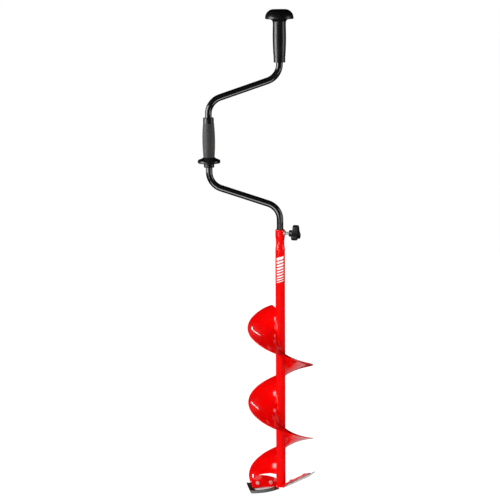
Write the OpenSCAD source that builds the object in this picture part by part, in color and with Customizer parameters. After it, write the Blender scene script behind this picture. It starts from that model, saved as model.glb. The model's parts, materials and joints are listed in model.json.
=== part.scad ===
// Hand ice auger: a red shaft with a left-hand flight and two angled cutters,
// and a black telescoping crank handle with two free-spinning grips.
// +Z runs up the shaft axis and z = 0 is the plane that the cutting edges sweep.
// +X is away from the crank, so the mid grip stands at negative X.

/* [Shaft] */
// Outer diameter of the shaft tube
shaft_d = 25.4; // [22:0.1:30]
// Wall thickness of the shaft tube
shaft_wall = 2; // [1.5:0.1:2.5]
// Height of the shaft's lower end above the cutting plane
shaft_bottom = 8; // [6:0.5:14]
// Height of the shaft's open mouth
shaft_top = 724; // [700:1:760]
// Height of the middle of the crimped waist that guides the handle
waist_z = 689; // [680:1:692]
// Outer diameter of the shaft at the waist
waist_d = 22.4; // [22:0.1:23.5]

/* [Flight] */
// Outer radius of the flight
flight_r = 88; // [80:0.5:90]
// Thickness of the flight's sheet
flight_t = 2.5; // [2:0.1:3]
// Height gained in one full turn
flight_pitch = 208; // [200:1:215]
// Height of the flight where it crosses the +X side for the last time
flight_ref_z = 144.3; // [140:0.1:150]
// Angle of the straight upper end, counted from +X
flight_start = 105; // [90:1:130]

/* [Cutters] */
// Radius of the circle that the blades cut
cut_r = 101.6; // [98:0.1:102]
// Angle of the plates to the cutting plane
plate_tilt = 39; // [35:0.5:41]
// Direction of the left cutting edge, counted from +X
edge_azimuth = 225; // [222:0.5:228]
// Thickness of the plates that carry the blades
plate_t = 3; // [2.5:0.1:3.2]
// Radius of the plates' outer ends
plate_r = 89.5; // [88:0.1:91]
// Thickness of the blades
blade_t = 2; // [1.5:0.1:2.5]
// Radius of the convex cutting edge
blade_edge_r = 290; // [250:5:340]
// Width of the ground bevel
bevel_w = 8; // [5:0.5:10]

/* [Crank handle] */
// Outer diameter of the handle tube
tube_d = 17.5; // [17:0.1:18]
// Wall thickness of the handle tube
tube_wall = 1.6; // [1.2:0.1:2]
// Distance from the shaft axis to the mid grip's axis
crank_offset = 184; // [170:1:200]
// Height gained along each sloping arm
crank_rise = 62; // [55:1:70]
// Height at which the lower arm's line leaves the shaft axis
crank_low_z = 783; // [783:1:800]
// Height at which the upper arm's line meets the shaft axis
crank_high_z = 1123; // [1115:1:1130]
// Centreline radius of the four bends
bend_r = 45; // [40:1:50]
// Height of the handle tube's lower end inside the shaft
tube_bottom = 430; // [420:1:440]
// Height of the handle tube's upper end inside the top grip
tube_top = 1252; // [1250:0.5:1253]

/* [Grips] */
// Height of the mid grip's lower end
mid_grip_z = 890; // [886:1:892]
// Radius of the mid grip at its widest
mid_grip_r = 16.5; // [15:0.1:18]
// Radius of the hand flange
flange_r = 29.4; // [26:0.1:32]
// Height of the top grip's lower end
top_grip_z = 1159.3; // [1155:0.1:1165]
// Radius of the top grip at its widest
top_grip_r = 17.2; // [16:0.1:18]
// Radius of the palm cap
palm_r = 36.3; // [32:0.1:40]
// Height of the flat top of the palm cap
palm_top = 1293.4; // [1290:0.1:1296]

/* [Clamp] */
// Height of the clamp screw's axis
clamp_z = 715; // [714:0.5:716]
// Direction in which the clamp knob points, counted from +X
clamp_azimuth = -20; // [-40:1:0]
// Diameter of the clamp stud
stud_d = 8; // [6:1:8]
// Distance from the shaft axis to the knob's hub face
hub_face = 26; // [24:0.5:30]
// Radius to the outermost point of the knob's lobes
knob_r = 23; // [20:0.5:25]

/* [Hidden] */
$fn = 64;

paint = "red";
black = "#1c1c1d";
rubber = "#2e2e2f";
zinc = "#b9bcc0";
steel = "#d5d8da";
nylon = "#ece9dd";
brass = "#b69a55";

// Clearances: round a running tube, inside a spinning grip, and end to end
running = 0.05;
spin_gap = 0.08;
end_gap = 0.3;

shaft_r = shaft_d / 2;
bore_r = shaft_r - shaft_wall;
tube_r = tube_d / 2;
tube_inner_r = tube_r - tube_wall;

// Crank geometry: the angle between the vertical legs and the arms, and the bends' tangent length
arm_turn = atan2(crank_offset, crank_rise);
arm_length = norm([crank_offset, crank_rise]);
tangent = bend_r * tan(arm_turn / 2);
bridge_h = 1;
bridge_in = 0.3;

// Waist of the shaft
waist_half = 16.5;
waist_flat = 4.5;

// Mouth of the shaft, rolled in towards the handle tube
mouth_gap = 0.6;
mouth_lip = 2;

// Inserts: the radius of the shaft's hole for one, how deep it reaches, and its outer flange
insert_r = 5.5;
insert_start = 9.4;
insert_flange_r = 6.8;
insert_flange_t = 2.9;
insert_proud = 1.4;
knob_insert_r = 6;
knob_insert_len = 16;

// Guide bush and its clip on the handle's lower end
bush_z = tube_bottom + 4;
bush_len = 30;
clip_t = 1.2;
clip_depth = 0.5;

// Mid grip heights, all above its lower end
mid_flange_low = 11.4;
mid_flange_rim = 18.6;
mid_cover_low = 26.2;
mid_widest = 70;
mid_cover_high = 114.6;
mid_grip_len = 129.4;
core_r = 12;
pocket_r = 11.7;
pocket_depth = 2.2;
ring_r = 11.3;
ring_t = 1.5;
ring_inset = 0.4;

// Top grip heights
sleeve_collar = 14.2;
sleeve_top = 1256;
spigot_top = 1262;
spigot_r = 14;
washer_t = 1.5;
washer_r = 11;
screw_r = 3;
screw_len = 14.5;
tube_insert_len = 16;

// Blade fasteners, as places along and behind the edge line, in the plate's plane
bolt_places = [[65, 37], [23, 24.7]];
bolt_r = 2.5;
bolt_len = 9.8;
bolt_head_r = 4.7;
bolt_head_h = 1.9;
nut_r = 4.7;
nut_h = 4;
nut_collar_r = 5.6;
// Height of the plates' lower faces over the cutting edge, at the shaft axis
plate_lift = 1.5;
// Thickness of the blade's ground edge
edge_t = 0.3;

knob_depth = 15;
hub_len = 10;

// ---- helpers ----

module ring(outer, inner, height) {
    difference() {
        cylinder(r = outer, h = height);
        translate([0, 0, -1]) cylinder(r = inner, h = height + 2);
    }
}

// A straight stretch of tube along Z, with its children at its end
module straight(length) {
    ring(tube_r, tube_inner_r, length);
    translate([0, 0, length]) children();
}

// A bend that leans towards -X, or towards +X with a turn of 180, with its children at its end
module bend(turn) {
    rotate([0, 0, turn]) translate([-bend_r, 0, 0]) {
        rotate([90, 0, 0]) rotate_extrude(angle = arm_turn) translate([bend_r, 0]) difference() {
            circle(r = tube_r);
            circle(r = tube_inner_r);
        }
        rotate([0, -arm_turn, 0]) translate([bend_r, 0, 0]) rotate([0, 0, -turn]) {
            // A ring inside the wall makes the bend one piece with the stretch that follows it
            translate([0, 0, -bridge_h / 2]) ring(tube_r - bridge_in, tube_inner_r + bridge_in, bridge_h);
            children();
        }
    }
}

// Places its children in a plate's plane: x along the edge line, -y behind it, z out of its top
module in_plate_plane(side) {
    translate([0, 0, plate_lift]) rotate([0, 0, edge_azimuth + side]) rotate([-plate_tilt, 0, 0]) {
        children();
    }
}

module along_clamp(distance) {
    translate([0, 0, clamp_z]) rotate([0, 0, clamp_azimuth]) rotate([0, 90, 0]) {
        translate([0, 0, distance]) children();
    }
}

// ---- shaft and flight ----

module shaft_profile() {
    waist_r = waist_d / 2;
    guide_r = tube_r + running;
    polygon([
        [bore_r, shaft_bottom],
        [shaft_r, shaft_bottom],
        [shaft_r, waist_z - waist_half],
        [waist_r, waist_z - waist_flat],
        [waist_r, waist_z + waist_flat],
        [shaft_r, waist_z + waist_half],
        [shaft_r, shaft_top - mouth_lip],
        [shaft_r - 0.5, shaft_top - 0.7],
        [shaft_r - 1.6, shaft_top],
        [tube_r + mouth_gap, shaft_top],
        [tube_r + mouth_gap, shaft_top - 1.4],
        [bore_r, shaft_top - mouth_lip - 0.4],
        [bore_r, waist_z + waist_half],
        [guide_r, waist_z + waist_flat],
        [guide_r, waist_z - waist_flat],
        [bore_r, waist_z - waist_half]
    ]);
}

module shaft_tube() {
    color(paint) difference() {
        rotate_extrude() shaft_profile();
        along_clamp(0) cylinder(r = insert_r, h = shaft_d);
    }
}

// A rivet nut: its barrel fills the hole in the shaft's wall and its flange lies on the outside
module threaded_insert() {
    flange_start = shaft_r + insert_proud - insert_flange_t;
    color(zinc) difference() {
        union() {
            along_clamp(insert_start) cylinder(r = insert_r, h = shaft_r - insert_start + 1);
            along_clamp(flange_start) cylinder(r = insert_flange_r, h = insert_flange_t);
        }
        difference() {
            translate([0, 0, clamp_z - 8]) cylinder(r = shaft_r, h = 16);
            along_clamp(0) cylinder(r = insert_r, h = shaft_d);
        }
        along_clamp(0) cylinder(r = stud_d / 2 + running, h = shaft_d);
    }
}

// Where the flight stops at a given radius: early beside the shaft, so a chip window is left
// above the plate, and late at the rim, where it butts against the plate
flight_stops = [
    [shaft_r + running, 176], [30, 173], [52, 176.8], [66, 181.5],
    [73, 187.3], [80, 195.5], [flight_r, 201.5]
];
flight_steps = 168;

function flight_height(angle) = flight_ref_z - flight_pitch * angle / 360;
function flight_angle(i, j) =
    let(first = flight_start - 720, last = flight_stops[j][1])
    first + (last - first) * i / flight_steps;
// The upper outer corner is rounded by drawing the rim in over the first steps
function flight_radius(i, j) =
    let(inset = max(0, 4 - i), full = flight_stops[j][0])
    j < 5 ? full : full - (j - 4) * inset * inset * 0.22;
function flight_point(i, j, lift) =
    let(angle = flight_angle(i, j), radius = flight_radius(i, j))
    [radius * cos(angle), radius * sin(angle), flight_height(angle) + lift];

module flight() {
    n = len(flight_stops);
    half = flight_t / 2;
    top = [for (i = [0 : flight_steps]) for (j = [0 : n - 1]) flight_point(i, j, half)];
    bottom = [for (i = [0 : flight_steps]) for (j = [0 : n - 1]) flight_point(i, j, -half)];
    under = len(top);
    last = flight_steps * n;
    faces = concat(
        [for (i = [0 : flight_steps - 1]) for (j = [0 : n - 2])
            [i * n + j, i * n + j + 1, (i + 1) * n + j + 1]],
        [for (i = [0 : flight_steps - 1]) for (j = [0 : n - 2])
            [i * n + j, (i + 1) * n + j + 1, (i + 1) * n + j]],
        [for (i = [0 : flight_steps - 1]) for (j = [0 : n - 2])
            [under + i * n + j, under + (i + 1) * n + j + 1, under + i * n + j + 1]],
        [for (i = [0 : flight_steps - 1]) for (j = [0 : n - 2])
            [under + i * n + j, under + (i + 1) * n + j, under + (i + 1) * n + j + 1]],
        [for (i = [0 : flight_steps - 1])
            [i * n, (i + 1) * n, under + (i + 1) * n]],
        [for (i = [0 : flight_steps - 1])
            [i * n, under + (i + 1) * n, under + i * n]],
        [for (i = [0 : flight_steps - 1])
            [i * n + n - 1, under + (i + 1) * n + n - 1, (i + 1) * n + n - 1]],
        [for (i = [0 : flight_steps - 1])
            [i * n + n - 1, under + i * n + n - 1, under + (i + 1) * n + n - 1]],
        [for (j = [0 : n - 2]) [j, under + j, under + j + 1]],
        [for (j = [0 : n - 2]) [j, under + j + 1, j + 1]],
        [for (j = [0 : n - 2]) [last + j, under + last + j + 1, under + last + j]],
        [for (j = [0 : n - 2]) [last + j, last + j + 1, under + last + j + 1]]
    );
    color(paint) polyhedron(points = concat(top, bottom), faces = faces);
}

// ---- cutters ----

// side is 0 for the left cutter and 180 for the right one
module blade_plate(side) {
    color(paint) difference() {
        intersection() {
            in_plate_plane(side) linear_extrude(plate_t) polygon([
                [4, -6.3], [95, -32.8], [90, -41], [79.5, -44.5], [67, -50.5], [58, -57],
                [50, -58.5], [34, -54.5], [18.7, -48.2], [4, -38.5], [-8, -26], [-9, -4]
            ]);
            cylinder(r = plate_r, h = 80);
        }
        translate([0, 0, shaft_bottom]) cylinder(r = shaft_r, h = 80);
        in_plate_plane(side) bolt_holes();
        // Keeps the two plates apart under the shaft
        rotate([0, 0, edge_azimuth + side]) translate([-60, -60, -20]) cube([61.5, 120, 30]);
    }
}

module bolt_holes() {
    for (place = bolt_places) {
        translate([place[0], -place[1], -10]) cylinder(r = bolt_r + 0.1, h = 20);
    }
}

module blade(side) {
    color(steel) difference() {
        intersection() {
            in_plate_plane(side) translate([0, 0, -blade_t]) linear_extrude(blade_t) {
                polygon([[5, 5], [110, 5], [110, -60], [88, -49], [5, -24]]);
            }
            in_plate_plane(side) translate([0, -blade_edge_r, -blade_t]) {
                cylinder(r = blade_edge_r, h = blade_t, $fn = 256);
            }
            translate([0, 0, -10]) cylinder(r = cut_r, h = 80);
        }
        in_plate_plane(side) translate([0, -blade_edge_r, 0]) rotate_extrude($fn = 256) polygon([
            [blade_edge_r - bevel_w, 0],
            [blade_edge_r + 1, edge_t - blade_t - (blade_t - edge_t) / bevel_w],
            [blade_edge_r + 1, 1],
            [blade_edge_r - bevel_w, 1]
        ]);
        in_plate_plane(side) {
            bolt_holes();
            for (place = bolt_places) {
                translate([place[0], -place[1], -blade_t]) {
                    cylinder(r1 = bolt_head_r + 0.2, r2 = bolt_r + 0.4, h = blade_t);
                }
            }
        }
        translate([0, 0, shaft_bottom]) cylinder(r = shaft_r, h = 80);
    }
}

module blade_bolts(side) {
    color(zinc) in_plate_plane(side) for (place = bolt_places) {
        translate([place[0], -place[1], -blade_t]) rotate_extrude() polygon([
            [0, 0], [bolt_head_r, 0], [bolt_r, bolt_head_h], [bolt_r, bolt_len - 0.8],
            [bolt_r - 0.6, bolt_len], [0, bolt_len]
        ]);
    }
}

module blade_nuts(side) {
    color(zinc) in_plate_plane(side) for (place = bolt_places) {
        translate([place[0], -place[1], plate_t]) difference() {
            union() {
                cylinder(r = nut_collar_r, h = 1);
                translate([0, 0, 1]) rotate([0, 0, 12]) cylinder(r = nut_r, h = nut_h - 1, $fn = 6);
            }
            translate([0, 0, -1]) cylinder(r = bolt_r, h = nut_h + 2);
        }
    }
}

module blade_plate_left() { blade_plate(0); }
module blade_plate_right() { blade_plate(180); }
module blade_left() { blade(0); }
module blade_right() { blade(180); }
module blade_bolts_left() { blade_bolts(0); }
module blade_bolts_right() { blade_bolts(180); }
module blade_nuts_left() { blade_nuts(0); }
module blade_nuts_right() { blade_nuts(180); }

// ---- crank handle ----

module guide_bush() {
    color(nylon) translate([0, 0, bush_z + end_gap]) {
        ring(bore_r - running, tube_r + running, bush_len);
    }
}

clip_z = bush_z + bush_len + 2 * end_gap;

// Half of the crank, from the middle of the mid grip's stretch to the end of a leg on the axis
module half_crank(leg) {
    grip_half = (crank_high_z - crank_low_z) / 2 - crank_rise - tangent;
    straight(grip_half) bend(180) straight(arm_length - 2 * tangent) bend(0) straight(leg);
}

module handle_tube() {
    color(black) difference() {
        translate([-crank_offset, 0, (crank_low_z + crank_high_z) / 2]) {
            half_crank(tube_top - crank_high_z - tangent);
            mirror([0, 0, 1]) half_crank(crank_low_z - tangent - tube_bottom);
        }
        translate([0, 0, clip_z]) ring(tube_r + 1, tube_r - clip_depth, clip_t);
    }
}

module handle_end_plug() {
    color(nylon) union() {
        translate([0, 0, tube_bottom]) cylinder(r = tube_inner_r, h = 18);
        translate([0, 0, tube_bottom - 4]) cylinder(r1 = bore_r - 2, r2 = bore_r - 0.6, h = 4);
    }
}

// The bush turns between the plug's shoulder ring and this clip
module bush_clip() {
    color(zinc) union() {
        translate([0, 0, clip_z]) ring(bore_r - 0.5, tube_r - clip_depth, clip_t);
        translate([0, 0, tube_bottom]) ring(bore_r - 0.6, tube_r, bush_z - tube_bottom);
    }
}

module stop_ring() { ring(ring_r, tube_r, ring_t); }

module grip_stop_rings() {
    mid_top = mid_grip_z + mid_grip_len - ring_inset - ring_t;
    color(zinc) {
        translate([-crank_offset, 0, mid_grip_z + ring_inset]) stop_ring();
        translate([-crank_offset, 0, mid_top]) stop_ring();
        translate([0, 0, top_grip_z + ring_inset]) stop_ring();
    }
}

module tube_insert() {
    color(brass) translate([0, 0, tube_top - tube_insert_len]) ring(tube_inner_r, screw_r, tube_insert_len);
}

module top_grip_washer() {
    color(zinc) translate([0, 0, tube_top]) ring(washer_r, screw_r + 0.2, washer_t);
}

module top_grip_screw() {
    color(zinc) translate([0, 0, tube_top + washer_t]) {
        rotate_extrude() polygon([
            [0, -screw_len], [screw_r - 0.6, -screw_len], [screw_r, 0.6 - screw_len], [screw_r, 0],
            [5.5, 0], [5.5, 2.6], [4.4, 3.9], [0, 4.3]
        ]);
    }
}

// ---- mid grip ----

module mid_core_profile() {
    bore = tube_r + spin_gap;
    polygon([
        [bore, pocket_depth],
        [pocket_r, pocket_depth],
        [pocket_r, 0],
        [13.1, 0],
        [13.5, 0.6],
        [13.5, mid_flange_low],
        [flange_r - 1.5, mid_flange_low],
        [flange_r, mid_flange_low + 1.2],
        [flange_r, mid_flange_rim - 0.8],
        [flange_r - 0.8, mid_flange_rim],
        [flange_r - 3.4, mid_flange_rim + 2],
        [17.5, mid_cover_low - 2.4],
        [15.6, mid_cover_low],
        [core_r, mid_cover_low],
        [core_r, mid_cover_high],
        [13.9, mid_cover_high],
        [13.9, mid_grip_len - 1],
        [13.2, mid_grip_len],
        [pocket_r, mid_grip_len],
        [pocket_r, mid_grip_len - pocket_depth],
        [bore, mid_grip_len - pocket_depth]
    ]);
}

module mid_grip_half(turn) {
    color(black) translate([-crank_offset, 0, mid_grip_z]) rotate([0, 0, turn]) {
        rotate_extrude(angle = 180) mid_core_profile();
    }
}

module mid_grip_half_front() { mid_grip_half(180); }
module mid_grip_half_back() { mid_grip_half(0); }

// The cover swells from each end to its widest place along two parabolas
function barrel(z) =
    let(low = z < mid_widest)
    let(half = low ? mid_widest - mid_cover_low : mid_cover_high - mid_widest)
    mid_grip_r - (low ? 1.9 : 2.1) * pow((z - mid_widest) / half, 2);

module mid_grip_cover() {
    steps = 12;
    outline = [for (i = [0 : steps])
        let(z = mid_cover_low + (mid_cover_high - mid_cover_low) * i / steps) [barrel(z), z]];
    color(rubber) translate([-crank_offset, 0, mid_grip_z]) rotate_extrude() {
        polygon(concat([[core_r, mid_cover_low]], outline, [[core_r, mid_cover_high]]));
    }
}

// ---- top grip ----

module top_grip_sleeve() {
    bore = tube_r + spin_gap;
    color(black) rotate_extrude() polygon([
        [bore, top_grip_z + pocket_depth],
        [pocket_r, top_grip_z + pocket_depth],
        [pocket_r, top_grip_z],
        [14.2, top_grip_z],
        [14.9, top_grip_z + 0.8],
        [14.9, top_grip_z + sleeve_collar - 1],
        [15.2, top_grip_z + sleeve_collar],
        [16.1, top_grip_z + 28],
        [16.9, top_grip_z + 46],
        [top_grip_r, top_grip_z + 62],
        [17.1, top_grip_z + 76],
        [16.6, sleeve_top],
        [spigot_r, sleeve_top],
        [spigot_r, spigot_top],
        [11.5, spigot_top],
        [11.5, tube_top - end_gap],
        [bore, tube_top - end_gap]
    ]);
}

module palm_cap() {
    steps = 12;
    rim_z = 1271.5;
    flat_r = 15;
    // Quarter ellipse from the rim up to the flat top
    dome = [for (i = [0 : steps])
        let(a = 90 * i / steps)
        [flat_r + (palm_r - flat_r) * cos(a), rim_z + (palm_top - rim_z) * sin(a)]];
    color(black) rotate_extrude() polygon(concat(
        [[0, 1268], [7, 1268], [7, spigot_top], [spigot_r, spigot_top], [spigot_r, sleeve_top],
         [16.6, sleeve_top], [16.8, 1260], [17.6, 1263.5], [19.4, 1266.2], [22.5, 1267.6],
         [27, 1268.2], [34.6, 1268.6], [35.9, 1269.6]],
        dome,
        [[0, palm_top]]
    ));
}

// ---- clamp ----

module clamp_stud() {
    tip = tube_r + end_gap;
    color(zinc) along_clamp(tip) cylinder(r = stud_d / 2, h = hub_face + 14 - tip);
}

module clamp_knob() {
    lobe_r = 7.6;
    color(black) along_clamp(hub_face) difference() {
        union() {
            cylinder(r = 8.9, h = hub_len + 4);
            for (turn = [0, 120, 240]) {
                rotate([0, 0, turn + 180]) translate([0, 0, hub_len]) hull() {
                    translate([knob_r - lobe_r, 0, 1.5]) cylinder(r = lobe_r, h = knob_depth - 3, $fn = 32);
                    translate([knob_r - lobe_r, 0, 0]) cylinder(r = lobe_r - 1.5, h = knob_depth, $fn = 32);
                    translate([0, 0, 1.5]) cylinder(r = 9.4, h = knob_depth - 3, $fn = 32);
                    cylinder(r = 8, h = knob_depth, $fn = 32);
                }
            }
        }
        translate([0, 0, -1]) cylinder(r = knob_insert_r, h = knob_insert_len + 1);
    }
}

module knob_insert() {
    color(brass) along_clamp(hub_face) ring(knob_insert_r, stud_d / 2, knob_insert_len);
}

shaft_tube();
threaded_insert();
flight();
blade_plate_left();
blade_plate_right();
blade_left();
blade_right();
blade_bolts_left();
blade_bolts_right();
blade_nuts_left();
blade_nuts_right();
guide_bush();
handle_tube();
handle_end_plug();
bush_clip();
grip_stop_rings();
tube_insert();
top_grip_washer();
top_grip_screw();
mid_grip_half_front();
mid_grip_half_back();
mid_grip_cover();
top_grip_sleeve();
palm_cap();
clamp_stud();
clamp_knob();
knob_insert();
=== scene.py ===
"""Looks of the hand ice auger. All lengths are in metres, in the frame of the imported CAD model."""
import json
import math

import bpy
from mathutils import Matrix, Vector, noise

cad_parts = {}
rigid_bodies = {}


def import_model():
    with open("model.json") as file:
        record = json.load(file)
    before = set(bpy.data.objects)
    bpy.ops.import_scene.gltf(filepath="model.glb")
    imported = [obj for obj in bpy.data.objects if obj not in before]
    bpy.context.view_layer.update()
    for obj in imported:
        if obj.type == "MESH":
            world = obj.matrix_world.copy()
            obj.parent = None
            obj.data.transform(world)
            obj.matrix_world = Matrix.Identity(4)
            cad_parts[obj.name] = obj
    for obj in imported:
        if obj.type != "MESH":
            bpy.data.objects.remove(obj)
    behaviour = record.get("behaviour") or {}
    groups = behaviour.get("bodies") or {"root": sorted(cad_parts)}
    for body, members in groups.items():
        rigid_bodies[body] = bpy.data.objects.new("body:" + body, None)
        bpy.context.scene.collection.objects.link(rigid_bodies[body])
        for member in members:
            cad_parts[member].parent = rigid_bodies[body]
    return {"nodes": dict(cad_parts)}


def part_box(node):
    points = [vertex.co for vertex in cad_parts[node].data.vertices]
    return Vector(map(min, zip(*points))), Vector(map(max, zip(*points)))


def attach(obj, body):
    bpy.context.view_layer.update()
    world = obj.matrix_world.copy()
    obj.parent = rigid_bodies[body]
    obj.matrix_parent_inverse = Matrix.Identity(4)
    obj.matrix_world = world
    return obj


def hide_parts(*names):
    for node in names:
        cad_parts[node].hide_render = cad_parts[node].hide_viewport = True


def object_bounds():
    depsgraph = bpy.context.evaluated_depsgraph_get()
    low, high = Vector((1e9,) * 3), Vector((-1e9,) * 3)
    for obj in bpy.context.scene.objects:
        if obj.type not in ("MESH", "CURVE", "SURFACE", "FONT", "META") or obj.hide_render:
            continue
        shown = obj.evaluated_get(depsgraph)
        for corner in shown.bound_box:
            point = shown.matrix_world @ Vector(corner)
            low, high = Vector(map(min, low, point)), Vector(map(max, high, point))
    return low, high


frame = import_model()
cad_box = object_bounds()

MM = 0.001
TAU = 2 * math.pi
UP = Vector((0, 0, 1))

# Design values that the CAD model also holds
SHAFT_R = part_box("shaft_tube")[1].x
FLIGHT_R = 88 * MM
FLIGHT_T = 2.5 * MM
FLIGHT_PITCH = 208 * MM
FLIGHT_REF_Z = 144.3 * MM
FLIGHT_START = 105 - 720
# Where the flight stops, as (radius in mm, angle in degrees)
FLIGHT_STOPS = [(12.75, 176), (30, 173), (52, 176.8), (66, 181.5), (73, 187.3), (80, 195.5), (88, 201.5)]
PLATE_TILT = math.radians(39)
EDGE_AZIMUTH = math.radians(225)
PLATE_LIFT = 1.5 * MM
PLATE_T = 3 * MM
BLADE_T = 2 * MM
BLADE_EDGE_R = 290 * MM
BEVEL_W = 8 * MM
BOLT_PLACES = [(65 * MM, -37 * MM), (23 * MM, -24.7 * MM)]
SIDES = {"left": 0.0, "right": math.pi}
CRANK_X = -184 * MM
MID_GRIP_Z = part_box("mid_grip_half_front")[0].z
TOP_GRIP_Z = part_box("top_grip_sleeve")[0].z
CLAMP_Z = 715 * MM
CLAMP_AZIMUTH = math.radians(-20)
HUB_FACE = 26 * MM


# ---- camera, floor and light ----

def aim(obj, target):
    """Turns a lamp or camera so that it looks at target."""
    direction = Vector(target) - obj.location
    obj.rotation_euler = direction.to_track_quat("-Z", "Y").to_euler()


def add_camera():
    """Stands in front of the auger, just above its top, and looks down at its middle."""
    data = bpy.data.cameras.new("camera")
    data.sensor_width = 36
    data.lens = 92.0
    camera = bpy.data.objects.new("camera", data)
    bpy.context.scene.collection.objects.link(camera)
    tilt_down = math.radians(11.77)
    roll = math.radians(-0.49)
    distance, height, sideways = 3.3, 1.357, -0.0795
    place = Matrix.Translation((sideways, -distance, height))
    turn = Matrix.Rotation(math.pi / 2 - tilt_down, 4, "X") @ Matrix.Rotation(roll, 4, "Z")
    camera.matrix_world = place @ turn
    bpy.context.scene.camera = camera


def glowing_material(name, strength, diffuse):
    """A matt surface that glows white, so that shadows on it stay faint."""
    material = bpy.data.materials.new(name)
    material.use_nodes = True
    nodes, links = material.node_tree.nodes, material.node_tree.links
    shader = nodes["Principled BSDF"]
    shader.inputs["Base Color"].default_value = (diffuse, diffuse, diffuse, 1)
    shader.inputs["Roughness"].default_value = 1
    shader.inputs["Specular IOR Level"].default_value = 0
    shader.inputs["Emission Color"].default_value = (1, 1, 1, 1)
    shader.inputs["Emission Strength"].default_value = strength
    links.new(shader.outputs[0], nodes["Material Output"].inputs["Surface"])
    return material


def add_stage():
    """A pale floor under the cutting edges and a white dome far behind it."""
    radius = 30
    under_part = (0, 0, cad_box[0].z - 0.2 * MM)
    bpy.ops.mesh.primitive_circle_add(vertices=96, radius=radius, fill_type="NGON", location=under_part)
    floor = bpy.context.object
    floor.name = "floor"
    floor.data.materials.append(glowing_material("floor_white", 0.95, 0.18))
    floor.visible_glossy = False
    bpy.ops.mesh.primitive_uv_sphere_add(segments=64, ring_count=32, radius=radius + 1)
    dome = bpy.context.object
    dome.name = "backdrop"
    dome.data.materials.append(glowing_material("backdrop_white", 1.0, 0.0))
    dome.visible_diffuse = False
    dome.visible_glossy = False
    dome.visible_transmission = False
    dome.visible_shadow = False

    world = bpy.data.worlds.new("studio")
    world.use_nodes = True
    background = world.node_tree.nodes["Background"]
    background.inputs["Color"].default_value = (1, 1, 1, 1)
    background.inputs["Strength"].default_value = 0.30
    world.cycles_visibility.glossy = False
    bpy.context.scene.world = world


def softbox(name, azimuth, distance, height, size, radiance, target_z, glossy=True, only=None):
    """An area lamp. azimuth is counted from the camera's side, positive towards the camera's left.

    only names the CAD nodes and pieces that the lamp lights; otherwise it lights everything."""
    data = bpy.data.lights.new(name, "AREA")
    data.shape = "RECTANGLE"
    data.size, data.size_y = size
    data.energy = radiance * math.pi * size[0] * size[1]
    lamp = bpy.data.objects.new(name, data)
    bpy.context.scene.collection.objects.link(lamp)
    angle = math.radians(azimuth)
    lamp.location = (-distance * math.sin(angle), -distance * math.cos(angle), height)
    aim(lamp, (0, 0, target_z))
    lamp.visible_camera = False
    lamp.visible_glossy = glossy
    if only:
        group = bpy.data.collections.new(name + "_receivers")
        for obj in only:
            group.objects.link(obj)
        lamp.light_linking.receiver_collection = group
    return lamp


def add_lights():
    """Ten lamps. Five of them light only the pieces that they are linked to, to place single highlights."""
    nodes = frame["nodes"]
    # Fill lamps light the paint without showing in it
    softbox("fill_front", 14, 3.4, 1.9, (1.8, 1.8), 6.6, 0.55, glossy=False)
    softbox("fill_back", 200, 2.8, 1.6, (1.6, 1.6), 3.2, 0.6, glossy=False)
    # Soft boxes that draw the highlights on the grips and the top of the shaft
    softbox("strip_low", 33, 2.0, 0.46, (0.36, 0.42), 6.5, 0.46)
    softbox("strip_low_right", -36, 2.0, 0.50, (0.26, 0.50), 6, 0.50, only=[nodes["handle_tube"]])
    softbox("strip_high", 72, 1.5, 1.06, (1.05, 0.90), 9.0, 1.06)
    softbox("strip_right", -76, 1.7, 1.00, (0.80, 1.2), 3.0, 1.00)
    # A narrow overhead strip that crosses the flight's lobes
    pieces = bpy.data.objects
    helix = [pieces["flight_sheet"], pieces["flight_welds"], nodes["shaft_tube"]]
    overhead = softbox("strip_top", 191.5, 0.85, 2.2, (0.55, 0.045), 30, 0.4, only=helix)
    overhead.rotation_euler = (math.radians(-20), 0, math.radians(-10))
    # Stand-ins for light that the table throws up at the crank's arms, the flight and the cutters
    softbox("bounce_low", 8, 0.56, 0.42, (1.1, 0.34), 6.0, 0.95, only=[nodes["handle_tube"]])
    blades = [nodes[part + name] for part in ("blade_plate_", "blade_") for name in SIDES]
    above_floor = cad_box[0].z - 0.1 * MM
    lit = helix[:2] + blades
    table = softbox("bounce_table", 240, 0.34, above_floor, (0.6, 0.6), 0.45, 0, only=lit)
    table.rotation_euler = (math.pi, 0, 0)
    # A soft lamp for the cutters alone, above and to the right, a little behind
    blades += [pieces[part + name] for part in ("hex_nuts_", "socket_bolts_") for name in SIDES]
    softbox("cutter_top", 246, 1.37, 1.45, (0.9, 0.9), 1.3, 0.03, only=blades)


# ---- materials ----

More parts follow.
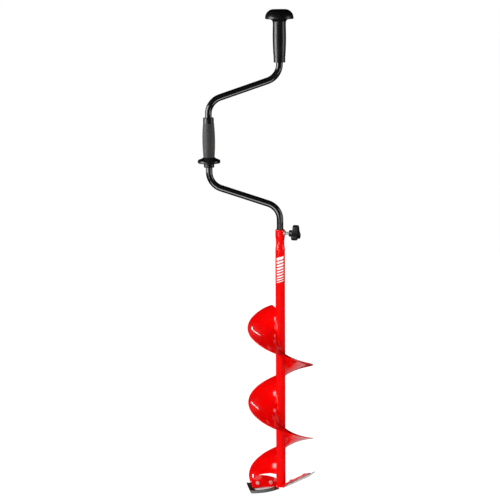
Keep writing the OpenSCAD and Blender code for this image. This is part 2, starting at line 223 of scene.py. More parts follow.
class Surface:
    """A Principled material with helpers for textures laid out in object space."""

    def __init__(self, name, **fixed):
        self.material = bpy.data.materials.new(name)
        self.material.use_nodes = True
        self.nodes = self.material.node_tree.nodes
        self.links = self.material.node_tree.links
        self.shader = self.nodes["Principled BSDF"]
        for socket, value in fixed.items():
            self.shader.inputs[socket.replace("_", " ")].default_value = value
        self.place = self.nodes.new("ShaderNodeTexCoord").outputs["Object"]

    def mapped(self, scale=(1, 1, 1), rotation=(0, 0, 0), location=(0, 0, 0), kind="POINT", vector=None):
        node = self.nodes.new("ShaderNodeMapping")
        node.vector_type = kind
        node.inputs["Location"].default_value = location
        node.inputs["Rotation"].default_value = rotation
        node.inputs["Scale"].default_value = scale
        self.links.new(vector or self.place, node.inputs["Vector"])
        return node.outputs[0]

    def noise(self, scale, detail=3.0, roughness=0.5, vector=None):
        node = self.nodes.new("ShaderNodeTexNoise")
        node.inputs["Scale"].default_value = scale
        node.inputs["Detail"].default_value = detail
        node.inputs["Roughness"].default_value = roughness
        self.links.new(vector or self.place, node.inputs["Vector"])
        return node.outputs["Fac"]

    def cells(self, scale):
        node = self.nodes.new("ShaderNodeTexVoronoi")
        node.inputs["Scale"].default_value = scale
        self.links.new(self.place, node.inputs["Vector"])
        return node.outputs["Distance"]

    def remap(self, value, low, high, to_low=0.0, to_high=1.0):
        node = self.nodes.new("ShaderNodeMapRange")
        for socket, number in zip(node.inputs[1:5], (low, high, to_low, to_high)):
            socket.default_value = number
        self.links.new(value, node.inputs["Value"])
        return node.outputs["Result"]

    def math(self, operation, a, b=0.0):
        node = self.nodes.new("ShaderNodeMath")
        node.operation = operation
        for socket, value in zip(node.inputs, (a, b)):
            if isinstance(value, (int, float)):
                socket.default_value = value
            else:
                self.links.new(value, socket)
        return node.outputs[0]

    def axis(self, name, vector=None):
        node = self.nodes.new("ShaderNodeSeparateXYZ")
        self.links.new(vector or self.place, node.inputs[0])
        return node.outputs[name]

    def length(self, vector):
        node = self.nodes.new("ShaderNodeVectorMath")
        node.operation = "LENGTH"
        self.links.new(vector, node.inputs[0])
        return node.outputs["Value"]

    def mix(self, factor, a, b):
        node = self.nodes.new("ShaderNodeMix")
        node.data_type = "RGBA"
        if isinstance(factor, float):
            node.inputs["Factor"].default_value = factor
        else:
            self.links.new(factor, node.inputs["Factor"])
        for socket, value in ((node.inputs[6], a), (node.inputs[7], b)):
            if isinstance(value, tuple):
                socket.default_value = (*value, 1)
            else:
                self.links.new(value, socket)
        return node.outputs[2]

    def edges(self, radius):
        """1 along convex and concave edges, 0 on flat faces."""
        bevel = self.nodes.new("ShaderNodeBevel")
        bevel.samples = 4
        bevel.inputs["Radius"].default_value = radius
        geometry = self.nodes.new("ShaderNodeNewGeometry")
        node = self.nodes.new("ShaderNodeVectorMath")
        node.operation = "DOT_PRODUCT"
        self.links.new(bevel.outputs[0], node.inputs[0])
        self.links.new(geometry.outputs["Normal"], node.inputs[1])
        return self.remap(node.outputs["Value"], 0.995, 0.90)

    def bump(self, height, distance, under=None):
        node = self.nodes.new("ShaderNodeBump")
        node.inputs["Strength"].default_value = 1
        node.inputs["Distance"].default_value = distance
        self.links.new(height, node.inputs["Height"])
        if under:
            self.links.new(under, node.inputs["Normal"])
        return node.outputs[0]

    def set(self, socket, value):
        self.links.new(value, self.shader.inputs[socket])


def red_enamel(name, edge_radius=0.0):
    """Gloss red enamel over steel, with orange peel and thin paint along sharp edges."""
    s = Surface(name, Coat_Weight=0.85, Coat_Roughness=0.03, Coat_IOR=1.5, Specular_IOR_Level=0.08)
    cloud = s.noise(9, 3)
    colour = s.mix(s.remap(cloud, 0.35, 0.65), (0.72, 0.0, 0.0), (0.65, 0.0, 0.0))
    specks = s.remap(s.noise(700, 2), 0.70, 0.78)
    colour = s.mix(specks, colour, (0.55, 0.0, 0.0))
    rough = s.remap(s.noise(40, 5, 0.65), 0.3, 0.7, 0.20, 0.33)
    if edge_radius:
        worn = s.math("MULTIPLY", s.edges(edge_radius), s.remap(s.noise(260, 4), 0.38, 0.55))
        colour = s.mix(worn, colour, (0.26, 0.0, 0.0))
        rough = s.math("ADD", rough, s.math("MULTIPLY", worn, 0.2))
    s.set("Base Color", colour)
    s.set("Roughness", rough)
    waves = s.bump(s.noise(18, 2), 0.22 * MM)
    s.set("Normal", s.bump(s.noise(900, 2), 0.012 * MM, under=waves))
    s.links.new(s.bump(s.noise(500, 2), 0.003 * MM, under=waves), s.shader.inputs["Coat Normal"])
    return s.material


def black_enamel(name):
    """Gloss black enamel on the handle tube, rubbed along its length where it slides in the shaft."""
    s = Surface(name, Coat_Weight=0.9, Coat_Roughness=0.05, Specular_IOR_Level=0.22)
    streaks = s.noise(1, 4, 0.6, s.mapped((1500, 1500, 12)))
    slid = s.remap(s.axis("Z"), 0.76, 0.70)
    rubbed = s.math("MULTIPLY", slid, s.remap(streaks, 0.55, 0.72))
    colour = s.mix(s.remap(s.noise(14, 3), 0.3, 0.7), (0.0020, 0.0018, 0.0018), (0.0036, 0.0034, 0.0034))
    s.set("Base Color", s.mix(rubbed, colour, (0.035, 0.033, 0.032)))
    rough = s.remap(s.noise(60, 5, 0.6), 0.3, 0.7, 0.15, 0.26)
    s.set("Roughness", s.math("ADD", rough, s.math("MULTIPLY", rubbed, 0.25)))
    s.set("Normal", s.bump(s.noise(800, 2), 0.008 * MM))
    return s.material


def satin_plastic(name, colour, low, high, grain, depth):
    """Moulded black plastic: a fine spark-eroded grain, faint flow marks and a few dull finger marks."""
    s = Surface(name, Specular_IOR_Level=0.5)
    tint = tuple(1.6 * c for c in colour)
    s.set("Base Color", s.mix(s.remap(s.noise(30, 4), 0.35, 0.7), colour, tint))
    marks = s.remap(s.noise(55, 6, 0.7), 0.35, 0.7, low, high)
    s.set("Roughness", marks)
    flow = s.bump(s.noise(1, 2, 0.5, s.mapped((60, 60, 9))), 0.05 * MM)
    s.set("Normal", s.bump(s.noise(grain, 3), depth, under=flow))
    return s.material


def grip_rubber(name):
    """Matte rubber with a pebbled grain, greyer where it is handled."""
    s = Surface(name, Specular_IOR_Level=0.38, Sheen_Weight=0.12, Sheen_Roughness=0.6)
    worn = s.remap(s.noise(28, 5, 0.6), 0.35, 0.72)
    s.set("Base Color", s.mix(worn, (0.017, 0.0155, 0.015), (0.030, 0.0275, 0.027)))
    s.set("Roughness", s.remap(s.noise(120, 4), 0.3, 0.7, 0.50, 0.66))
    pebbles = s.bump(s.cells(1300), 0.03 * MM)
    s.set("Normal", s.bump(s.noise(3500, 3), 0.006 * MM, under=pebbles))
    return s.material


def zinc_plate(name):
    """Passivated zinc: cloudy roughness and a faint yellow and blue cast."""
    s = Surface(name, Metallic=0.72)
    cast = s.mix(s.remap(s.noise(180, 3), 0.35, 0.65), (0.80, 0.76, 0.62), (0.72, 0.73, 0.74))
    s.set("Base Color", cast)
    s.set("Roughness", s.remap(s.noise(500, 5), 0.3, 0.7, 0.22, 0.42))
    s.set("Normal", s.bump(s.noise(2500, 2), 0.01 * MM))
    return s.material


def turned_brass(name):
    """Brass with fine turning marks round its axis."""
    s = Surface(name, Metallic=1.0)
    s.set("Base Color", s.mix(s.remap(s.noise(200, 4), 0.3, 0.7), (0.68, 0.50, 0.22), (0.56, 0.40, 0.17)))
    s.set("Roughness", s.remap(s.noise(300, 4), 0.3, 0.7, 0.25, 0.42))
    s.set("Normal", s.bump(s.noise(1, 2, 0.5, s.mapped((150, 150, 5000))), 0.02 * MM))
    return s.material


def white_nylon(name):
    """Natural nylon, slightly translucent, with turning marks and grey grease smears."""
    s = Surface(name, Subsurface_Weight=0.15, Subsurface_Scale=2 * MM)
    s.set("Base Color", s.mix(s.remap(s.noise(90, 5), 0.45, 0.75), (0.80, 0.79, 0.74), (0.55, 0.54, 0.50)))
    s.set("Roughness", s.remap(s.noise(150, 3), 0.3, 0.7, 0.38, 0.55))
    s.set("Normal", s.bump(s.noise(1, 2, 0.5, s.mapped((80, 80, 3000))), 0.02 * MM))
    return s.material


def ground_steel(name, side):
    """Blade steel: a near-black top face with printed ticks, a bright rolled underside and a dark ground
    bevel.
    """
    s = Surface(name)
    turn = (-PLATE_TILT, 0, EDGE_AZIMUTH + side)
    local = s.mapped(kind="TEXTURE", rotation=turn, location=(0, 0, PLATE_LIFT))
    centred = s.mapped(location=(0, BLADE_EDGE_R, 0), vector=s.mapped((1, 1, 0), vector=local))
    inset = s.math("SUBTRACT", BLADE_EDGE_R, s.length(centred))
    on_bevel = s.remap(inset, BEVEL_W, BEVEL_W - 0.3 * MM)
    burr = s.remap(inset, 0.9 * MM, 0.5 * MM)
    rolled = s.noise(1, 4, 0.6, s.mapped((40, 1400, 1400), vector=local))
    ground = s.noise(1, 3, 0.6, s.mapped((2600, 90, 90), vector=local))
    on_top = s.remap(s.axis("Z", local), -1.2 * MM, -0.8 * MM)
    steel = s.mix(s.remap(rolled, 0.3, 0.7), (0.70, 0.71, 0.71), (0.86, 0.86, 0.86))
    # The top face is coloured near-black and the underside is left as bright steel
    dark_top = s.mix(s.remap(rolled, 0.3, 0.7), (0.016, 0.020, 0.018), (0.034, 0.040, 0.037))
    colour = s.mix(on_top, steel, dark_top)
    # A printed row of plain ticks behind the bevel, with no lettering
    x = s.axis("X", local)
    ticks = s.remap(s.math("FRACT", s.math("MULTIPLY", x, 1 / (4.2 * MM))), 0.30, 0.36)
    row = s.math("MULTIPLY", s.remap(inset, 9.2 * MM, 9.5 * MM), s.remap(inset, 15.0 * MM, 14.7 * MM))
    span = s.math("MULTIPLY", s.remap(x, 18 * MM, 18.3 * MM), s.remap(x, 82.3 * MM, 82 * MM))
    inked = s.math("MULTIPLY", s.math("MULTIPLY", ticks, row), s.math("MULTIPLY", span, on_top))
    inked = s.math("MULTIPLY", inked, s.remap(s.noise(700, 3), 0.70, 0.60))
    colour = s.mix(inked, colour, (0.86, 0.86, 0.85))
    bevel = s.math("MULTIPLY", on_bevel, s.math("SUBTRACT", 1.0, inked))
    colour = s.mix(bevel, colour, (0.10, 0.115, 0.11))
    s.set("Base Color", s.mix(burr, colour, (0.06, 0.07, 0.066)))
    s.set("Metallic", s.math("MULTIPLY", s.math("SUBTRACT", 1.0, inked), 0.8))
    dull = s.remap(rolled, 0.3, 0.7, 0.26, 0.42)
    bright = s.remap(ground, 0.3, 0.7, 0.14, 0.28)
    pick = s.nodes.new("ShaderNodeMix")
    s.links.new(on_bevel, pick.inputs["Factor"])
    s.links.new(dull, pick.inputs[2])
    s.links.new(bright, pick.inputs[3])
    s.set("Roughness", pick.outputs[0])
    along = s.bump(rolled, 0.02 * MM)
    s.set("Normal", s.bump(s.math("MULTIPLY", ground, on_bevel), 0.03 * MM, under=along))
    return s.material


def white_ink(name):
    """Screen-printed white ink, slightly thin and broken at its edges."""
    s = Surface(name, Coat_Weight=0.3, Coat_Roughness=0.1)
    s.set("Base Color", s.mix(s.remap(s.noise(900, 3), 0.62, 0.75), (0.84, 0.82, 0.81), (0.80, 0.45, 0.43)))
    s.set("Roughness", s.remap(s.noise(200, 3), 0.3, 0.7, 0.3, 0.45))
    s.set("Normal", s.bump(s.noise(900, 2), 0.01 * MM))
    return s.material


def make_materials():
    """Every material, by the short name that the rest of the script uses."""
    made = {
        "red_paint": red_enamel("red_enamel"),
        "red_edges": red_enamel("red_enamel_edges", 0.5 * MM),
        "black_paint": black_enamel("black_enamel"),
        "grip_plastic": satin_plastic("grip_plastic", (0.0030, 0.0027, 0.0027), 0.26, 0.38, 2200, 0.003 * MM),
        "knob_plastic": satin_plastic("knob_plastic", (0.0050, 0.0050, 0.0052), 0.34, 0.46, 1800, 0.008 * MM),
        "grip_rubber": grip_rubber("grip_rubber"),
        "zinc": zinc_plate("zinc_plate"),
        "brass": turned_brass("turned_brass"),
        "nylon": white_nylon("white_nylon"),
        "white_ink": white_ink("white_ink"),
    }
    for name, side in SIDES.items():
        made["blade_" + name] = ground_steel("ground_steel_" + name, side)
    return made


# ---- mesh helpers ----

def piece(name, points, faces, material, body, replaces=(), sharp=40):
    """Makes a smooth-shaded mesh object with sharp edges over an angle, and hangs it on its body."""
    mesh = bpy.data.meshes.new(name)
    mesh.from_pydata([tuple(p) for p in points], [], faces)
    mesh.validate()
    mesh.shade_smooth()
    mesh.set_sharp_from_angle(angle=math.radians(sharp))
    obj = bpy.data.objects.new(name, mesh)
    bpy.context.scene.collection.objects.link(obj)
    mesh.materials.append(MATERIALS[material])
    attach(obj, body)
    if replaces:
        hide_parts(*replaces)
    return obj


def skin(rings, closed=False, loop=True):
    """Joins rows of points with faces. A row of one point is a pole. Returns points and faces."""
    points, starts = [], []
    for ring in rings:
        starts.append(len(points))
        points.extend(ring)
    faces = []
    last = len(rings) if closed else len(rings) - 1
    for i in range(last):
        j = (i + 1) % len(rings)
        a, b = starts[i], starts[j]
        n = max(len(rings[i]), len(rings[j]))
        for k in range(n if loop else n - 1):
            m = (k + 1) % n
            if len(rings[i]) == 1:
                faces.append((a, b + m, b + k))
            elif len(rings[j]) == 1:
                faces.append((a + k, a + m, b))
            else:
                faces.append((a + k, a + m, b + m, b + k))
    return points, faces


def merged(parts):
    """Puts several (points, faces) pairs together as one."""
    points, faces = [], []
    for some_points, some_faces in parts:
        start = len(points)
        points.extend(some_points)
        faces.extend(tuple(start + i for i in f) for f in some_faces)
    return points, faces


def filleted(corners, steps=5):
    """An outline with its corners rounded. corners are (r, z, reach of the rounding), in metres."""
    outline = []
    count = len(corners)
    for i, (r, z, fillet) in enumerate(corners):
        here = Vector((r, z))
        before = Vector(corners[i - 1][:2]) - here
        after = Vector(corners[(i + 1) % count][:2]) - here
        if fillet <= 0 or before.length < 1e-9 or after.length < 1e-9:
            outline.append(here)
            continue
        reach = min(fillet, 0.45 * before.length, 0.45 * after.length)
        a = here + before.normalized() * reach
        b = here + after.normalized() * reach
        for k in range(steps + 1):
            t = k / steps
            outline.append((1 - t) ** 2 * a + 2 * t * (1 - t) * here + t * t * b)
    return outline


def lathe(outline, centre, first=0.0, last=TAU, segments=128):
    """Revolves a closed (r, z) outline about the vertical through centre."""
    full = abs(last - first - TAU) < 1e-6
    count = segments if full else segments + 1
    rings = []
    for i in range(count):
        angle = first + (last - first) * i / segments
        x, y = math.cos(angle), math.sin(angle)
        rings.append([Vector((centre[0] + r * x, centre[1] + r * y, z)) for r, z in outline])
    points, faces = skin(rings, closed=full)
    if not full:
        n = len(outline)
        faces.append(tuple(range(n)))
        faces.append(tuple(reversed(range(len(points) - n, len(points)))))
    return points, faces


def spun(rings_at, count, place):
    """Rows of points from (r, z) rings. r and z may be functions of the angle, and r = 0 makes a pole."""
    rings = []
    for r, z in rings_at:
        if not callable(r) and r == 0:
            rings.append([place @ Vector((0, 0, z))])
            continue
        ring = []
        for k in range(count):
            angle = TAU * k / count
            radius = r(angle) if callable(r) else r
            height = z(angle) if callable(z) else z
            ring.append(place @ Vector((radius * math.cos(angle), radius * math.sin(angle), height)))
        rings.append(ring)
    return rings


def smooth_node(node, material, bevel=0.0):
    """Gives a CAD node its material, and rounds its edges with modifiers only."""
    obj = frame["nodes"][node]
    if not obj.material_slots:
        obj.data.materials.append(None)
    for slot in obj.material_slots:
        slot.link = "OBJECT"
        slot.material = MATERIALS[material]
    if bevel:
        weld = obj.modifiers.new("weld", "WELD")
        weld.merge_threshold = 0.001 * MM
        edge = obj.modifiers.new("edge", "BEVEL")
        edge.width = bevel
        edge.segments = 3
        edge.limit_method = "ANGLE"
        edge.angle_limit = math.radians(30)
        edge.harden_normals = True


def plate_frame(side):
    """Plate space: x along the edge line, -y behind it, z out of the plate's top."""
    turn = Matrix.Rotation(EDGE_AZIMUTH + side, 4, "Z") @ Matrix.Rotation(-PLATE_TILT, 4, "X")
    return Matrix.Translation((0, 0, PLATE_LIFT)) @ turn


def clamp_frame(distance):
    """Clamp space: z along the stud, out of the shaft, from a distance along it."""
    turn = Matrix.Rotation(CLAMP_AZIMUTH, 4, "Z") @ Matrix.Rotation(math.pi / 2, 4, "Y")
    return Matrix.Translation((0, 0, CLAMP_Z)) @ turn @ Matrix.Translation((0, 0, distance))


# ---- flight ----

def flight_z(angle):
    """Height of the flight's middle surface at an angle in degrees. It falls as the angle grows."""
    return FLIGHT_REF_Z - FLIGHT_PITCH * angle / 360


def flight_stop(radius):
    """The angle at which the flight stops, at a radius."""
    r = radius / MM
    for (r0, a0), (r1, a1) in zip(FLIGHT_STOPS, FLIGHT_STOPS[1:]):
        if r <= r1:
            return a0 + (a1 - a0) * max(0.0, (r - r0) / (r1 - r0))
    return FLIGHT_STOPS[-1][1]


def flight_point(radius, angle, lift):
    """A point of the flight, which a slow ripple takes a little off the true helix."""
    turn = math.radians(angle)
    x, y = radius * math.cos(turn), radius * math.sin(turn)
    ripple = 0.25 * MM * noise.noise(Vector((14 * x, 14 * y, 0.05 * angle)))
    return Vector((x, y, flight_z(angle) + lift + ripple))


def add_flight():
    """The helical sheet, with a rolled outer edge and a rounded upper corner."""
    steps, across, edge_steps = 620, 18, 6
    half = FLIGHT_T / 2
    corner_reach = 0.024
    corner_depth = 7 * MM
    inner = SHAFT_R
    rings = []
    for i in range(steps + 1):
        t = i / steps
        inset = corner_depth * max(0.0, 1 - t / corner_reach) ** 2
        outer = FLIGHT_R - inset
        section = [(inner + (outer - half - inner) * j / across, -half) for j in range(across + 1)]
        for k in range(1, edge_steps):
            a = -math.pi / 2 + math.pi * k / edge_steps
            section.append((outer - half + half * math.cos(a), half * math.sin(a)))
        section += [(r, half) for r, z in reversed(section[:across + 1])]
        ring = []
        for radius, lift in section:
            stop = flight_stop(radius)
            ring.append(flight_point(radius, FLIGHT_START + (stop - FLIGHT_START) * t, lift))
        rings.append(ring)
    points, faces = skin(rings)
    n = len(rings[0])
    for base, flip in ((0, False), (len(points) - n, True)):
        for k in range((n - 1) // 2):
            quad = (base + k, base + k + 1, base + n - 2 - k, base + n - 1 - k)
            quad = tuple(dict.fromkeys(quad))
            if len(quad) > 2:
                faces.append(tuple(reversed(quad)) if flip else quad)
    piece("flight_sheet", points, faces, "red_paint", "auger", ["flight"], sharp=50)


# ---- welds ----

def bead(path, normals, radius, period=3.2 * MM):
    """A weld bead along path: overlapping ripples, with rounded ends."""
    sides = 14
    rings = []
    travelled = 0.0
    total = sum((b - a).length for a, b in zip(path, path[1:]))
    for i, point in enumerate(path):
        if i:
            travelled += (point - path[i - 1]).length
        forward = (path[min(i + 1, len(path) - 1)] - path[max(i - 1, 0)]).normalized()
        normal = (normals[i] - forward * normals[i].dot(forward)).normalized()
        across = forward.cross(normal)
        end = min(travelled, total - travelled)
        taper = math.sqrt(max(0.0, 1 - (1 - min(1.0, end / (1.6 * radius))) ** 2))
        ring = []
        for k in range(sides):
            a = TAU * k / sides
            phase = travelled / period - 0.35 * math.sin(a)
            ripple = 1 + 0.13 * abs(math.sin(math.pi * phase)) - 0.06
            wander = 1 + 0.10 * noise.noise(point * 260)
            r = radius * taper * ripple * wander
            ring.append(point + normal * (r * math.sin(a) * 0.75) + across * (r * math.cos(a)))
        rings.append(ring)
    rings[0] = [path[0]]
    rings[-1] = [path[-1]]
    return skin(rings)


def flight_welds():
    """Stitch welds between the flight and the shaft, above and below the sheet."""
    beads = []
    stitch, gap, step = 62, 58, 2.2
    for lift_sign in (1, -1):
        angle = FLIGHT_START + (6 if lift_sign > 0 else 24)
        while angle + stitch < FLIGHT_STOPS[0][1] - 2:
            path, normals = [], []
            count = int(stitch / step)
            for i in range(count + 1):
                a = angle + stitch * i / count
                turn = math.radians(a)
                out = Vector((math.cos(turn), math.sin(turn), 0))
                height = flight_z(a) + lift_sign * (FLIGHT_T / 2 + 0.4 * MM)
                path.append(out * (SHAFT_R + 0.5 * MM) + UP * height)
                normals.append(out + UP * lift_sign)
            beads.append(bead(path, normals, 2.3 * MM))
            angle += stitch + gap
    return beads


def plate_welds(side):
    """Beads where a plate meets the shaft, on its upper face."""
    place = plate_frame(side)
    normal = (place.to_3x3() @ UP).normalized()
    origin = place @ Vector((0, 0, PLATE_T))
    path, normals = [], []
    first, last, count = -6, 84, 60
    for i in range(count + 1):
        turn = EDGE_AZIMUTH + side - math.radians(first + (last - first) * i / count)
        out = Vector((math.cos(turn), math.sin(turn), 0))
        point = out * (SHAFT_R + 0.4 * MM)
        point.z = origin.z - normal.xy.dot(point.xy - origin.xy) / normal.z
        path.append(point + normal * 0.3 * MM)
        normals.append(out + normal)
    return bead(path, normals, 2.5 * MM)


def flight_end_weld():
    """The bead that joins the flight's lower end to the left plate."""
    path, normals = [], []
    normal = (plate_frame(0).to_3x3() @ UP).normalized()
    count = 40
    for i in range(count + 1):
        radius = (60 + 26.5 * i / count) * MM
        angle = flight_stop(radius)
        path.append(flight_point(radius, angle + 0.6, 0) + normal * 0.4 * MM)
        normals.append(normal + UP)
    return bead(path, normals, 2.4 * MM)


def add_welds():
    """The flight's stitches as one piece, and the beads at the plates as another."""
    points, faces = merged(flight_welds())
    piece("flight_welds", points, faces, "red_paint", "auger", sharp=80)
    points, faces = merged([plate_welds(0), plate_welds(math.pi), flight_end_weld()])
    piece("plate_welds", points, faces, "red_paint", "auger", sharp=80)


# ---- fasteners ----

def hexagon(half_flats, turn=0.0):
    """Radius of a hexagon at an angle."""
    sixth = math.pi / 3

    def radius(angle):
        return half_flats / math.cos((angle - turn) % sixth - sixth / 2)
    return radius


def add_blade_fasteners():
    """Chamfered flange nuts, and countersunk bolts with a hexagon socket and a threaded end."""
    nut_top, bolt_r = 4 * MM, 2.5 * MM
    flats = 4.07 * MM
    hexagonal = hexagon(flats, math.radians(12))
    socket = hexagon(1.5 * MM)

    def chamfer(angle):
        return nut_top - 0.58 * (hexagonal(angle) - flats + 0.15 * MM)

    nut = [(bolt_r + 0.02 * MM, 0.0), (5.5 * MM, 0.0), (5.6 * MM, 0.1 * MM), (5.6 * MM, 0.55 * MM),
           (4.9 * MM, 1.0 * MM), (hexagonal, 1.05 * MM), (hexagonal, chamfer), (flats - 0.15 * MM, nut_top),
           (2.9 * MM, nut_top), (bolt_r + 0.02 * MM, nut_top - 0.4 * MM)]
    length, pitch = 9.8 * MM, 0.8 * MM
    bolt = [(0, 1.6 * MM), (socket, 1.6 * MM), (socket, 0.1 * MM), (lambda a: socket(a) + 0.1 * MM, 0.0),
            (4.5 * MM, 0.0), (4.7 * MM, 0.15 * MM), (bolt_r, 1.9 * MM), (bolt_r, 3 * MM)]
    turns = int((length - 3.8 * MM) / pitch)
    for k in range(turns):
        z = 3.2 * MM + k * pitch
        bolt += [(bolt_r - 0.35 * MM, z + 0.4 * pitch), (bolt_r, z + 0.9 * pitch), (bolt_r, z + pitch)]
    bolt += [(bolt_r - 0.1 * MM, length - 0.6 * MM), (bolt_r - 0.6 * MM, length), (0, length)]
    for name, side in SIDES.items():
        nuts, bolts = [], []
        for x, y in BOLT_PLACES:
            place = plate_frame(side) @ Matrix.Translation((x, y, PLATE_T))
            nuts.append(skin(spun(nut, 72, place), closed=True))
            place = plate_frame(side) @ Matrix.Translation((x, y, -BLADE_T))
            bolts.append(skin(spun(bolt, 72, place)))
        points, faces = merged(nuts)
        piece("hex_nuts_" + name, points, faces, "zinc", "auger", ["blade_nuts_" + name], sharp=25)
        points, faces = merged(bolts)
        replaced = ["blade_bolts_" + name]
        piece("socket_bolts_" + name, points, faces, "zinc", "auger", replaced, sharp=25)


def add_stud():
    """The clamp stud with its M8 thread."""
    low, high = 9.05 * MM, HUB_FACE + 14 * MM
    crest, depth, pitch = 4 * MM, 0.65 * MM, 1.25 * MM
    count, per_turn = 40, 10
    rows = int((high - low) / pitch * per_turn)
    place = clamp_frame(0)
    rings = [[place @ Vector((0, 0, low))]]
    for i in range(rows + 1):
        z = low + (high - low) * i / rows
        end = min(i, rows - i) / 8
        ring = []
        for k in range(count):
            angle = TAU * k / count
            wave = (z / pitch - k / count) % 1.0
            cut = depth * max(0.0, 1 - abs(wave - 0.5) / 0.42)
            radius = min(crest - cut, crest - 0.9 * MM * max(0.0, 1 - end))
            ring.append(place @ Vector((radius * math.cos(angle), radius * math.sin(angle), z)))
        rings.append(ring)
    rings.append([place @ Vector((0, 0, high))])
    points, faces = skin(rings)
    piece("threaded_stud", points, faces, "zinc", "stud", ["clamp_stud"], sharp=50)


def knob_outline(angle):
    """Radius of the three-lobed outline at an angle, from a smooth union of three tapered arms."""
    reach, root, tip, blend = 15.4 * MM, 9.2 * MM, 7.6 * MM, 3.2 * MM

    def distance(r):
        x, y = r * math.cos(angle), r * math.sin(angle)
        parts = []
        for turn in (math.pi, math.pi / 3, -math.pi / 3):
            along = x * math.cos(turn) + y * math.sin(turn)
            across = -x * math.sin(turn) + y * math.cos(turn)
            t = min(1.0, max(0.0, along / reach))
            parts.append(math.hypot(along - t * reach, across) - (root + (tip - root) * t))
        return -blend * math.log(sum(math.exp(-d / blend) for d in parts))

    low, high = 0.0, 30 * MM
    for _ in range(40):
        middle = (low + high) / 2
        if distance(middle) < 0:
            low = middle
        else:
            high = middle
    return min(low, 23 * MM)


def add_knob():
    """The clamp knob: a round hub, three arms with rolled edges, and a shallow dish in its face."""
    bore, hub, hub_len, depth, roll = 6 * MM, 8.9 * MM, 10 * MM, 15 * MM, 2.4 * MM
    face = hub_len + depth
    count = 180
    radii = [knob_outline(TAU * k / count) for k in range(count)]

    def outline(inset, circle=0.0, radius=0.0):
        def at(angle):
            r = radii[round(angle / TAU * count) % count] - inset
            return r + (radius - r) * circle
        return at

    rings = [(0, 16 * MM), (bore, 16 * MM), (bore, 0.4 * MM), (bore + 0.4 * MM, 0.0), (hub - 0.8 * MM, 0.0),
             (hub - 0.2 * MM, 0.3 * MM), (hub, 0.9 * MM), (hub, hub_len - 1.2 * MM),
             (outline(0, 0.93, hub), hub_len - 0.5 * MM), (outline(roll, 0.55, hub), hub_len),
             (outline(roll, 0.2, hub), hub_len)]
    for k in range(7):
        a = math.pi / 2 * k / 6
        rings.append((outline(roll * (1 - math.sin(a))), hub_len + roll * (1 - math.cos(a))))
    rings.append((outline(0), hub_len + depth / 2))
    for k in range(7):
        a = math.pi / 2 * k / 6
        rings.append((outline(roll * (1 - math.cos(a))), face - roll * (1 - math.sin(a))))
    rings += [(outline(roll + 1.2 * MM, 0.1, 9 * MM), face), (outline(roll, 0.6, 9 * MM), face - 0.15 * MM),
              (7.4 * MM, face - 0.3 * MM), (7.0 * MM, face - 0.5 * MM), (6.8 * MM, face - 1.3 * MM),
              (3 * MM, face - 1.5 * MM), (0, face - 1.5 * MM)]
    points, faces = skin(spun(rings, count, clamp_frame(HUB_FACE)))
    piece("lobed_knob", points, faces, "knob_plastic", "knob", ["clamp_knob"], sharp=45)


# ---- grips ----

def add_mid_grip():
    """Two core halves with a fine seam between them, and the rubber cover."""
    z0 = MID_GRIP_Z
    corners = [(8.83, 2.2, 0), (11.7, 2.2, 0), (11.7, 0, 0.3), (13.5, 0, 0.8), (13.5, 11.4, 1.2),
               (29.4, 11.4, 1.8), (29.4, 18.6, 2.2), (26.0, 20.6, 2.0), (18.0, 23.6, 3), (15.6, 26.2, 0.5),
               (12, 26.2, 0), (12, 114.6, 0), (13.9, 114.6, 0.4), (13.9, 129.4, 0.9), (11.7, 129.4, 0.3),
               (11.7, 127.2, 0), (8.83, 127.2, 0)]
    outline = filleted([(r * MM, z0 + z * MM, f * MM) for r, z, f in corners])
    seam = 0.004
    for name, first in (("front", math.pi), ("back", 0.0)):
        points, faces = lathe(outline, (CRANK_X, 0), first + seam, first + math.pi - seam, 96)
        piece("mid_core_" + name, points, faces, "grip_plastic", "mid_grip",
              ["mid_grip_half_" + name], sharp=35)

    low, widest, high, wide = 26.2, 70.0, 114.6, 16.5
    steps = 44
    cover = [(12.0, low, 0)]
    for i in range(steps + 1):
        z = low + (high - low) * i / steps
        half, drop = (widest - low, 1.9) if z < widest else (high - widest, 2.1)
        cover.append((wide - drop * ((z - widest) / half) ** 2, z, 0.8 if i in (0, steps) else 0))
    cover.append((12.0, high, 0))
    outline = filleted([(r * MM, z0 + z * MM, f * MM) for r, z, f in cover])
    points, faces = lathe(outline, (CRANK_X, 0), segments=192)
    piece("rubber_cover", points, faces, "grip_rubber", "mid_grip",
          ["mid_grip_cover"], sharp=40)


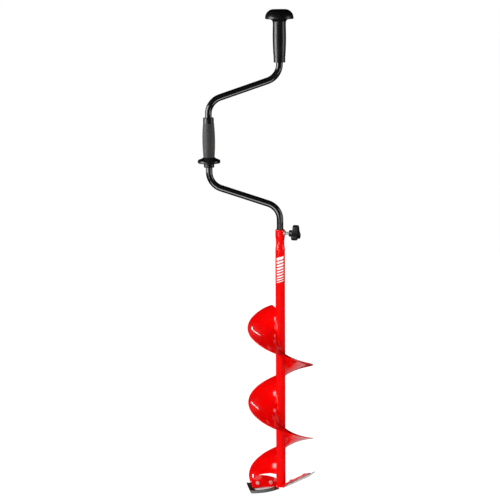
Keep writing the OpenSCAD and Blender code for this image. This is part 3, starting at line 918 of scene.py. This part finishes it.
def add_top_grip():
    """The hard sleeve and the palm cap over it."""
    z0 = TOP_GRIP_Z
    corners = [(8.83, 2.2, 0), (11.7, 2.2, 0), (11.7, 0, 0.3), (14.9, 0, 0.9), (14.9, 13.3, 0.3),
               (14.6, 13.7, 0.1), (14.6, 14.2, 0.1), (15.2, 14.7, 0.3), (16.1, 28, 6), (16.9, 46, 6),
               (17.2, 62, 6), (17.1, 76, 6), (16.6, 96.7, 0), (14, 96.7, 0), (14, 102.7, 0),
               (11.5, 102.7, 0), (11.5, 92.4, 0), (8.83, 92.4, 0)]
    outline = filleted([(r * MM, z0 + z * MM, f * MM) for r, z, f in corners], steps=8)
    points, faces = lathe(outline, (0, 0), segments=144)
    piece("grip_sleeve", points, faces, "grip_plastic", "top_grip",
          ["top_grip_sleeve"], sharp=35)

    top, rim_z, flat_r, palm_r = 1293.4, 1271.5, 15.0, 36.3
    steps = 20
    under = [(14, 1262, 0), (14, 1256, 0), (16.6, 1256, 0), (16.8, 1260, 2), (17.6, 1263.5, 2),
             (19.4, 1266.2, 2), (22.5, 1267.6, 3), (27, 1268.2, 3), (34.4, 1268.6, 1.2), (36.0, 1269.6, 0.8)]
    dome = []
    for i in range(steps + 1):
        a = math.pi / 2 * i / steps
        dome.append((flat_r + (palm_r - flat_r) * math.cos(a), rim_z + (top - rim_z) * math.sin(a), 0))
    inside = [(0, top, 0), (0, 1268, 0), (7, 1268, 0), (7, 1262, 0)]
    outline = filleted([(r * MM, z * MM, f * MM) for r, z, f in under + dome + inside], steps=4)
    points, faces = cap_surface(outline)
    piece("palm_dome", points, faces, "grip_plastic", "top_grip", ["palm_cap"], sharp=35)


def cap_surface(outline, count=144):
    """Revolves an outline that starts off the axis and crosses it, with poles where it does."""
    start = next(i for i, p in enumerate(outline) if p[0] < 1e-9)
    stop = next(i for i, p in enumerate(outline) if p[0] < 1e-9 and i > start)
    loop = list(outline[stop:]) + list(outline[:start + 1])
    rings = [(0 if r < 1e-9 else r, z) for r, z in loop]
    return skin(spun(rings, count, Matrix.Identity(4)))


# ---- shaft graphic ----

def add_graphic():
    """A generic printed mark on the shaft: a column of slanted bars."""
    radius = SHAFT_R + 0.06 * MM
    facing = math.radians(-92)
    half_width = math.radians(44)
    slant = 3.0 * MM
    across = 12
    # Each bar as (top, height), in mm
    bars = [(652, 7.5), (641, 5.0), (632.5, 5.0), (624, 5.0), (615.5, 3.6), (608, 3.6), (600.5, 3.6),
            (593, 2.4), (587, 2.4)]
    parts = []
    for top, height in bars:
        rows = []
        for z in (top * MM, (top - height) * MM):
            row = []
            for k in range(across + 1):
                t = -1 + 2 * k / across
                angle = facing + half_width * t
                row.append(Vector((radius * math.cos(angle), radius * math.sin(angle), z + slant * t)))
            rows.append(row)
        points, faces = skin(rows, loop=False)
        parts.append((points, [tuple(reversed(f)) for f in faces]))
    points, faces = merged(parts)
    mark = piece("shaft_mark", points, faces, "white_ink", "auger")
    thick = mark.modifiers.new("film", "SOLIDIFY")
    thick.thickness = 0.04 * MM
    thick.offset = -1


# ---- build ----

MATERIALS = make_materials()
add_camera()
add_stage()

smooth_node("shaft_tube", "red_paint")
for name in SIDES:
    smooth_node("blade_plate_" + name, "red_edges", bevel=0.35 * MM)
    smooth_node("blade_" + name, "blade_" + name)
smooth_node("handle_tube", "black_paint")
for node in ("threaded_insert", "bush_clip", "grip_stop_rings", "top_grip_washer", "top_grip_screw"):
    smooth_node(node, "zinc", bevel=0.15 * MM)
for node in ("guide_bush", "handle_end_plug"):
    smooth_node(node, "nylon", bevel=0.2 * MM)
for node in ("tube_insert", "knob_insert"):
    smooth_node(node, "brass", bevel=0.15 * MM)

add_flight()
add_welds()
add_blade_fasteners()
add_stud()
add_knob()
add_mid_grip()
add_top_grip()
add_graphic()
add_lights()

bpy.context.scene.view_settings.view_transform = "Standard"
bpy.context.view_layer.update()
